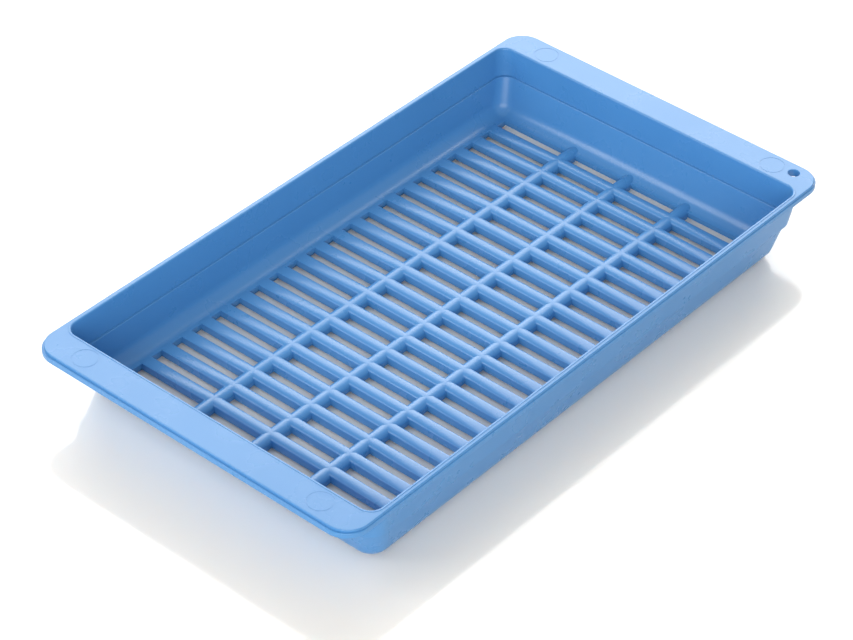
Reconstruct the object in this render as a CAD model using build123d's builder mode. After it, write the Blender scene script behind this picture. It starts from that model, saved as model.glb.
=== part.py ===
"""Slotted moulded tray: a shallow tray with a flange at each end, a stepped wall and an open grate floor.

Units are millimetres. The origin is at the centre of the footprint on the table, +Z is up,
+X points to the end with the hanging hole and +Y to the left long side seen from the plain end.
"""
import os

from build123d import *

# ---------------------------------------------------------------- overall
OVERALL_LENGTH = 300.0
OVERALL_WIDTH = 164.6
OVERALL_HEIGHT = 32.4
RIM_CORNER_RADIUS = 10.4

# ---------------------------------------------------------------- rim and flanges
BEAD_HEIGHT = 0.18                 # low bead that runs round the opening
BEAD_WIDTH = 1.1
RIM_TOP = OVERALL_HEIGHT - BEAD_HEIGHT
RIM_REBATE_DEPTH = 1.05            # small step down along the outer edge of the rim
END_REBATE_WIDTH = 1.0
SIDE_REBATE_WIDTH = 0.4
REBATE_LEVEL = RIM_TOP - RIM_REBATE_DEPTH
RIM_THICKNESS = 3.65
RIM_UNDERSIDE = OVERALL_HEIGHT - RIM_THICKNESS
RIM_EDGE_ROUND = 0.4
BEAD_OUTER_ROUND = 0.12
OPENING_ROUND = 0.7

# ---------------------------------------------------------------- opening and walls (half sizes)
OPENING_HALF_LENGTH = 134.1
OPENING_HALF_WIDTH = 79.45
OPENING_CORNER = 5.5
LEDGE_LEVEL = 19.6                 # inside ledge, part of the way down the wall
LEDGE_WIDTH = 1.1
LEDGE_CORNER_STEP = 0.4            # the corners tighten by this much below the ledge
LEDGE_ROUND = 0.35
UPPER_FOOT_HALF_LENGTH = 133.3
UPPER_FOOT_HALF_WIDTH = 77.8
UPPER_FOOT_CORNER = 6.4
LOWER_FOOT_HALF_LENGTH = 127.5     # where the sloping inner wall would meet the floor
LOWER_FOOT_HALF_WIDTH = 74.3
LOWER_FOOT_CORNER = 7.2
INNER_FOOT_RADIUS = 6.5

STEP_LEVEL = 18.0                  # matching step on the outside
OUTER_TOP_HALF_LENGTH = 135.8
OUTER_TOP_HALF_WIDTH = 81.3
OUTER_STEP_HALF_LENGTH = 134.5
OUTER_STEP_HALF_WIDTH = 80.0
OUTER_UPPER_CORNER = 8.6
OUTER_LOWER_HALF_LENGTH = 133.6
OUTER_LOWER_HALF_WIDTH = 79.0
OUTER_BASE_HALF_LENGTH = 127.9     # where the sloping outer wall would meet the table
OUTER_BASE_HALF_WIDTH = 75.6
OUTER_LOWER_CORNER = 8.8
OUTER_FOOT_RADIUS = 8.5
UNDERSIDE_LEVEL = 1.65             # the border of the floor is thinner than its standing edge
STANDING_EDGE_INNER = 68.0         # half the distance between the standing edges of the long sides

# ---------------------------------------------------------------- grate floor
SLAT_COUNT = 21
SLAT_PITCH = 11.4
SLAT_WIDTH = 5.7
RIB_PITCH = 30.6
RIB_WIDTH = 6.2
RIB_NAMES = ("right", "middle", "left")
BAR_UNDERSIDE = 0.95
FLOOR_TOP = 4.05                   # border of the floor, and where the rounding of a slat starts
RIB_SPRING = 2.95                  # where the rounding of a rib starts
CROWN_TOP = 5.22                   # slats and ribs are equally high
HALF_LAP_LEVEL = 2.5
FIELD_HALF_LENGTH = 122.4          # half the open length, from the first slot to the last
FIELD_HALF_WIDTH = 67.2
CROWN_FADE_START = 36.0            # a little beyond the outer ribs the crowns of the slats start to get lower
CROWN_FADE_END = 68.6
CROWN_END_RISE = 0.1
RIB_CROWN_RUN = 5.0

# ---------------------------------------------------------------- details on the flanges
HOLE_DIAMETER = 5.0
HOLE_X = 143.2
HOLE_Y = -70.8
HOLE_ROUND = 0.3
RING_MARK_DIAMETER = 10.9
RING_MARK_LINE = 0.4
RING_MARK_DEPTH = 0.08
RING_MARK_X = 141.5
RING_MARK_Y = 60.8

TOUCHING = 1e-6                    # lengths closer than this are the same

# ---------------------------------------------------------------- seams between the moulded regions
FOOT_SEAM = 10.0
END_SEAM = FIELD_HALF_LENGTH
MARGIN = 10.0                      # overshoot for cutting bodies

os.makedirs("parts", exist_ok=True)

ledge_half_length = UPPER_FOOT_HALF_LENGTH - LEDGE_WIDTH
ledge_half_width = UPPER_FOOT_HALF_WIDTH - LEDGE_WIDTH

# ================================================================ hollow of the tray
with BuildPart() as lower_hollow:
    with BuildSketch(Plane.XY.offset(FLOOR_TOP)):
        RectangleRounded(2 * LOWER_FOOT_HALF_LENGTH, 2 * LOWER_FOOT_HALF_WIDTH, LOWER_FOOT_CORNER)
    with BuildSketch(Plane.XY.offset(LEDGE_LEVEL)):
        RectangleRounded(2 * ledge_half_length, 2 * ledge_half_width, UPPER_FOOT_CORNER - LEDGE_CORNER_STEP)
    loft(ruled=True)
    fillet(lower_hollow.faces().sort_by(Axis.Z)[0].edges(), INNER_FOOT_RADIUS)

with BuildPart() as upper_hollow:
    with BuildSketch(Plane.XY.offset(LEDGE_LEVEL)):
        RectangleRounded(2 * UPPER_FOOT_HALF_LENGTH, 2 * UPPER_FOOT_HALF_WIDTH, UPPER_FOOT_CORNER)
    with BuildSketch(Plane.XY.offset(OVERALL_HEIGHT)):
        RectangleRounded(2 * OPENING_HALF_LENGTH, 2 * OPENING_HALF_WIDTH, OPENING_CORNER)
    loft(ruled=True)

with BuildPart() as hollow:
    add(lower_hollow.part)
    add(upper_hollow.part)
    flat_faces = hollow.faces().filter_by(GeomType.PLANE)
    ledge = flat_faces.filter_by(lambda f: abs(f.center().Z - LEDGE_LEVEL) < TOUCHING)[0]
    fillet(ledge.inner_wires()[0].edges(), LEDGE_ROUND)

# ================================================================ outside of the tub
with BuildPart() as tub:
    with BuildSketch(Plane.XY):
        RectangleRounded(2 * OUTER_BASE_HALF_LENGTH, 2 * OUTER_BASE_HALF_WIDTH, OUTER_LOWER_CORNER)
    with BuildSketch(Plane.XY.offset(STEP_LEVEL)):
        RectangleRounded(2 * OUTER_LOWER_HALF_LENGTH, 2 * OUTER_LOWER_HALF_WIDTH, OUTER_LOWER_CORNER)
    loft(ruled=True)
    fillet(tub.faces().sort_by(Axis.Z)[0].edges(), OUTER_FOOT_RADIUS)
    with BuildSketch(Plane.XY.offset(STEP_LEVEL)):
        RectangleRounded(2 * OUTER_STEP_HALF_LENGTH, 2 * OUTER_STEP_HALF_WIDTH, OUTER_UPPER_CORNER)
    with BuildSketch(Plane.XY.offset(RIM_UNDERSIDE)):
        RectangleRounded(2 * OUTER_TOP_HALF_LENGTH, 2 * OUTER_TOP_HALF_WIDTH, OUTER_UPPER_CORNER)
    loft(ruled=True)
    add(hollow.part, mode=Mode.SUBTRACT)
    with Locations((0, 0, FLOOR_TOP)):
        Box(2 * FIELD_HALF_LENGTH, 2 * FIELD_HALF_WIDTH, 2 * MARGIN,
            align=(Align.CENTER, Align.CENTER, Align.MAX), mode=Mode.SUBTRACT)
    Box(OVERALL_LENGTH, 2 * STANDING_EDGE_INNER, UNDERSIDE_LEVEL,
        align=(Align.CENTER, Align.CENTER, Align.MIN), mode=Mode.SUBTRACT)

# ================================================================ rim with both flanges
with BuildPart() as rim:
    with BuildSketch(Plane.XY.offset(RIM_UNDERSIDE)):
        RectangleRounded(OVERALL_LENGTH, OVERALL_WIDTH, RIM_CORNER_RADIUS)
    extrude(amount=REBATE_LEVEL - RIM_UNDERSIDE)
    fillet(rim.edges().group_by(Axis.Z)[-1], RIM_EDGE_ROUND)
    fillet(rim.edges().group_by(Axis.Z)[0], RIM_EDGE_ROUND)
    with BuildSketch(Plane.XY.offset(REBATE_LEVEL)):
        RectangleRounded(OVERALL_LENGTH - 2 * END_REBATE_WIDTH, OVERALL_WIDTH - 2 * SIDE_REBATE_WIDTH,
                         RIM_CORNER_RADIUS - SIDE_REBATE_WIDTH)
    extrude(amount=RIM_TOP - REBATE_LEVEL)
    fillet(rim.edges().group_by(Axis.Z)[-1], RIM_EDGE_ROUND)
    with BuildSketch(Plane.XY.offset(RIM_TOP)):
        RectangleRounded(2 * (OPENING_HALF_LENGTH + BEAD_WIDTH), 2 * (OPENING_HALF_WIDTH + BEAD_WIDTH),
                         OPENING_CORNER + BEAD_WIDTH)
    extrude(amount=BEAD_HEIGHT)
    fillet(rim.edges().group_by(Axis.Z)[-1], BEAD_OUTER_ROUND)
    add(upper_hollow.part, mode=Mode.SUBTRACT)
    opening_edges = rim.faces().sort_by(Axis.Z)[-1].inner_wires()[0].edges()
    fillet(opening_edges, OPENING_ROUND)
    with Locations((HOLE_X, HOLE_Y, RIM_TOP)):
        Hole(HOLE_DIAMETER / 2, depth=RIM_TOP - RIM_UNDERSIDE)
    round_edges = rim.edges().filter_by(GeomType.CIRCLE)
    hole_edges = round_edges.filter_by(lambda e: abs(e.radius - HOLE_DIAMETER / 2) < TOUCHING)
    fillet(hole_edges.sort_by(Axis.Z)[-1], HOLE_ROUND)
    with BuildSketch(Plane.XY.offset(RIM_TOP)):
        with GridLocations(2 * RING_MARK_X, 2 * RING_MARK_Y, 2, 2):
            Circle(RING_MARK_DIAMETER / 2)
            Circle(RING_MARK_DIAMETER / 2 - RING_MARK_LINE, mode=Mode.SUBTRACT)
    extrude(amount=-RING_MARK_DEPTH, mode=Mode.SUBTRACT)

# ================================================================ the moulding, region by region
side_length = 2 * END_SEAM
end_length = OVERALL_LENGTH / 2 + MARGIN - END_SEAM
end_centre = END_SEAM + end_length / 2
side_depth = OVERALL_WIDTH / 2 + MARGIN
PLACES = {
    "hole_end": ((end_centre, 0), (end_length, 2 * side_depth)),
    "plain_end": ((-end_centre, 0), (end_length, 2 * side_depth)),
    "left_side": ((0, side_depth / 2), (side_length, side_depth)),
    "right_side": ((0, -side_depth / 2), (side_length, side_depth)),
}
BANDS = {
    "upper_wall": (LEDGE_LEVEL, RIM_UNDERSIDE),
    "lower_wall": (FOOT_SEAM, LEDGE_LEVEL),
    "foot": (0.0, FOOT_SEAM),
}

for place, (centre, size) in PLACES.items():
    with BuildPart() as rim_piece:
        add(rim.part)
        with Locations((*centre, RIM_UNDERSIDE)):
            Box(*size, OVERALL_HEIGHT, align=(Align.CENTER, Align.CENTER, Align.MIN), mode=Mode.INTERSECT)
    rim_piece.part.label = f"rim_{place}"
    export_step(rim_piece.part, f"parts/rim_{place}.step")

    for band, (bottom, top) in BANDS.items():
        with BuildPart() as wall_piece:
            add(tub.part)
            with Locations((*centre, bottom)):
                Box(*size, top - bottom, align=(Align.CENTER, Align.CENTER, Align.MIN), mode=Mode.INTERSECT)
        wall_piece.part.label = f"{band}_{place}"
        export_step(wall_piece.part, f"parts/{band}_{place}.step")

# ================================================================ grate: crowned bars with half-lap crossings
# beyond the outer ribs the crown of a slat gets lower towards the wall foot
with BuildPart() as crown_end:
    for away, rise in ((CROWN_FADE_START, CROWN_TOP - FLOOR_TOP), (CROWN_FADE_END, CROWN_END_RISE)):
        with BuildSketch(Plane.XZ.offset(away)):
            with BuildLine():
                crown = EllipticalCenterArc((0, FLOOR_TOP), SLAT_WIDTH / 2, rise, arc_size=180)
                Line(crown @ 1, crown @ 0)
            make_face()
    loft(ruled=True)

with BuildPart() as slat_bar:
    with BuildSketch(Plane.XZ):
        with Locations((0, (BAR_UNDERSIDE + FLOOR_TOP) / 2)):
            Rectangle(SLAT_WIDTH, FLOOR_TOP - BAR_UNDERSIDE)
    extrude(amount=FIELD_HALF_WIDTH, both=True)
    with BuildSketch(Plane.XZ):
        with BuildLine():
            crown = EllipticalCenterArc((0, FLOOR_TOP), SLAT_WIDTH / 2, CROWN_TOP - FLOOR_TOP, arc_size=180)
            Line(crown @ 1, crown @ 0)
        make_face()
    extrude(amount=CROWN_FADE_START, both=True)
    add(crown_end.part)
    add(crown_end.part.mirror(Plane.XZ))

with BuildPart() as rib_bar:
    with BuildSketch(Plane.YZ):
        with Locations((0, (BAR_UNDERSIDE + RIB_SPRING) / 2)):
            Rectangle(RIB_WIDTH, RIB_SPRING - BAR_UNDERSIDE)
    extrude(amount=FIELD_HALF_LENGTH, both=True)
    with BuildSketch(Plane.YZ):
        with BuildLine():
            crown = EllipticalCenterArc((0, RIB_SPRING), RIB_WIDTH / 2, CROWN_TOP - RIB_SPRING, arc_size=180)
            Line(crown @ 1, crown @ 0)
        make_face()
    extrude(amount=FIELD_HALF_LENGTH + RIB_CROWN_RUN, both=True)

rib_places = [(0, RIB_PITCH * (i - (len(RIB_NAMES) - 1) / 2)) for i in range(len(RIB_NAMES))]
slat_places = [(SLAT_PITCH * (i - (SLAT_COUNT - 1) / 2), 0) for i in range(SLAT_COUNT)]

# the part of a slat that lies above the half-lap; the ribs are notched round it so the crowns meet in a mitre
with BuildPart() as slat_top:
    add(slat_bar.part)
    with Locations((0, 0, HALF_LAP_LEVEL)):
        Box(2 * SLAT_WIDTH, OVERALL_WIDTH, MARGIN, align=(Align.CENTER, Align.CENTER, Align.MAX),
            mode=Mode.SUBTRACT)

for number, place in enumerate(slat_places, start=1):
    with BuildPart() as slat:
        with Locations(place):
            add(slat_bar.part)
        add(tub.part, mode=Mode.SUBTRACT)
        with Locations([(place[0], y, HALF_LAP_LEVEL) for _, y in rib_places]):
            Box(SLAT_WIDTH, RIB_WIDTH, MARGIN, align=(Align.CENTER, Align.CENTER, Align.MAX),
                mode=Mode.SUBTRACT)
    slat.part.label = f"slat_{number:02d}"
    export_step(slat.part, f"parts/slat_{number:02d}.step")

with BuildPart() as notched_rib:
    add(rib_bar.part)
    add(tub.part, mode=Mode.SUBTRACT)
    with Locations(slat_places):
        add(slat_top.part, mode=Mode.SUBTRACT)

for name, place in zip(RIB_NAMES, rib_places):
    with BuildPart() as rib:
        with Locations(place):
            add(notched_rib.part)
    rib.part.label = f"rib_{name}"
    export_step(rib.part, f"parts/rib_{name}.step")
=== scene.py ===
"""Slotted moulded tray on a glossy white studio table.

Units are metres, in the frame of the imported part: origin at the centre of the footprint, +Z up,
+X towards the end with the hanging hole.
"""

from math import pi

import bpy
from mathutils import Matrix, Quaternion, Vector


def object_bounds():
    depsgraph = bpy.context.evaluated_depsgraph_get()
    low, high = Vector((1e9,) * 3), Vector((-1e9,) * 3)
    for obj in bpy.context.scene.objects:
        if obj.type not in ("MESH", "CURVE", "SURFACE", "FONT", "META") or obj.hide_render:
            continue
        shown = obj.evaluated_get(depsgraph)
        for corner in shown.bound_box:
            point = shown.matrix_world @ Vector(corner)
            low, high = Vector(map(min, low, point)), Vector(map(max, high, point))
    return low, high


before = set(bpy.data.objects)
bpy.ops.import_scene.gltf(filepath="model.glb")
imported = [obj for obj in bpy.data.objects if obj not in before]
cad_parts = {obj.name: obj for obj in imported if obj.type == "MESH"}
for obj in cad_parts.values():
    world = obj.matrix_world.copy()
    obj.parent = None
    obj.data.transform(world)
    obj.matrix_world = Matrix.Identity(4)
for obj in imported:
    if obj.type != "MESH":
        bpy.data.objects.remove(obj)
cad_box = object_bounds()
scene = bpy.context.scene

# ------------------------------------------------------------------ small helpers for node trees

NOISE_LOW = 0.3
NOISE_HIGH = 0.7


def new_material(name):
    material = bpy.data.materials.new(name)
    material.use_nodes = True
    nodes = material.node_tree.nodes
    return material, nodes, material.node_tree.links, nodes["Principled BSDF"]


def noise(nodes, links, coords, scale, detail):
    texture = nodes.new("ShaderNodeTexNoise")
    texture.inputs["Scale"].default_value = scale
    texture.inputs["Detail"].default_value = detail
    links.new(coords, texture.inputs["Vector"])
    return texture.outputs["Fac"]


def ramp(nodes, links, source, out_low, out_high):
    """Spread the middle of a noise over the range from out_low to out_high."""
    mapped = nodes.new("ShaderNodeMapRange")
    mapped.inputs["From Min"].default_value = NOISE_LOW
    mapped.inputs["From Max"].default_value = NOISE_HIGH
    mapped.inputs["To Min"].default_value = out_low
    mapped.inputs["To Max"].default_value = out_high
    links.new(source, mapped.inputs["Value"])
    return mapped.outputs["Result"]


# ------------------------------------------------------------------ moulded plastic

POLYMER_IOR = 1.49
PLASTIC = (0.066, 0.240, 0.520)
PALE_TONE = (1.06, 1.03, 1.02)
DEEP_TONE = (0.95, 0.97, 0.98)
GRAIN_DEPTH = 0.00005


def moulded_plastic():
    material, nodes, links, shader = new_material("tray_plastic")
    place = nodes.new("ShaderNodeTexCoord").outputs["Object"]

    # slow drift of tone, as pigment and wall thickness vary over the moulding
    drift = noise(nodes, links, place, scale=18.0, detail=3.0)
    tone = nodes.new("ShaderNodeMix")
    tone.data_type = "RGBA"
    tone.inputs["A"].default_value = (*(c * t for c, t in zip(PLASTIC, DEEP_TONE)), 1)
    tone.inputs["B"].default_value = (*(c * t for c, t in zip(PLASTIC, PALE_TONE)), 1)
    links.new(ramp(nodes, links, drift, 0.0, 1.0), tone.inputs["Factor"])
    links.new(tone.outputs["Result"], shader.inputs["Base Color"])

    # satin tool finish: gloss varies in soft patches, with a fine spark-eroded grain
    patches = noise(nodes, links, place, scale=60.0, detail=4.0)
    links.new(ramp(nodes, links, patches, 0.25, 0.32), shader.inputs["Roughness"])
    grain = noise(nodes, links, place, scale=2600.0, detail=2.0)
    bump = nodes.new("ShaderNodeBump")
    bump.inputs["Strength"].default_value = 0.05
    bump.inputs["Distance"].default_value = GRAIN_DEPTH
    links.new(grain, bump.inputs["Height"])
    links.new(bump.outputs["Normal"], shader.inputs["Normal"])

    shader.inputs["IOR"].default_value = POLYMER_IOR
    return material


plastic = moulded_plastic()
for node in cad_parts.values():
    node.data.materials.clear()
    node.data.materials.append(plastic)

# ------------------------------------------------------------------ table

low, high = cad_box
TABLE_REACH = 12 * (high.x - low.x)
TABLE_THICKNESS = 0.03
SCATTER_DEPTH = 0.006


def table():
    """A slab of glossy white acrylic, which lets a little light spread under its surface."""
    bpy.ops.mesh.primitive_cube_add(size=1, location=(0, 0, low.z - TABLE_THICKNESS / 2))
    board = bpy.context.object
    board.name = "table"
    board.scale = (2 * TABLE_REACH, 2 * TABLE_REACH, TABLE_THICKNESS)
    material, nodes, links, shader = new_material("white_acrylic")
    shader.inputs["Base Color"].default_value = (0.95, 0.89, 0.83, 1)
    shader.inputs["Subsurface Weight"].default_value = 0.7
    shader.inputs["Subsurface Radius"].default_value = (1.0, 0.9, 0.85)
    shader.inputs["Subsurface Scale"].default_value = SCATTER_DEPTH
    shader.inputs["IOR"].default_value = POLYMER_IOR
    place = nodes.new("ShaderNodeTexCoord").outputs["Object"]
    haze = noise(nodes, links, place, scale=25.0, detail=3.0)
    links.new(ramp(nodes, links, haze, 0.08, 0.12), shader.inputs["Roughness"])
    board.data.materials.append(material)


table()

# ------------------------------------------------------------------ studio light


def softbox(name, toward, distance, size, radiance):
    """A soft panel that faces the tray, seen from there in the direction toward."""
    light = bpy.data.lights.new(name, "AREA")
    light.shape = "RECTANGLE"
    light.size, light.size_y = size
    light.energy = radiance * pi * size[0] * size[1]
    panel = bpy.data.objects.new(name, light)
    direction = Vector(toward).normalized()
    panel.location = direction * distance
    panel.rotation_mode = "QUATERNION"
    panel.rotation_quaternion = direction.to_track_quat("Z", "Y")
    scene.collection.objects.link(panel)


softbox("back_panel", (0.62, 0.50, 0.47), 1.4, (1.45, 1.15), 4.4)
softbox("strip_panel", (-0.70, 0.49, 0.52), 1.2, (0.30, 0.9), 6.0)
softbox("fill_panel", (-0.74, -0.57, 0.34), 1.6, (1.4, 1.2), 3.8)

world = bpy.data.worlds.new("studio")
world.use_nodes = True
world.node_tree.nodes["Background"].inputs["Color"].default_value = (1, 1, 1, 1)
world.node_tree.nodes["Background"].inputs["Strength"].default_value = 0.55
scene.world = world

scene.view_settings.view_transform = "Standard"
scene.view_settings.look = "None"

# ------------------------------------------------------------------ camera

camera_data = bpy.data.cameras.new("camera")
camera_data.sensor_fit = "HORIZONTAL"
camera_data.sensor_width = 36.0
camera_data.lens = 130.8
camera_data.clip_start, camera_data.clip_end = 0.05, 30.0
camera = bpy.data.objects.new("camera", camera_data)
camera.location = (-0.76699, -0.62075, 0.79349)
camera.rotation_mode = "QUATERNION"
camera.rotation_quaternion = Quaternion((0.821431, 0.387339, -0.191209, -0.372368))
scene.collection.objects.link(camera)
scene.camera = camera
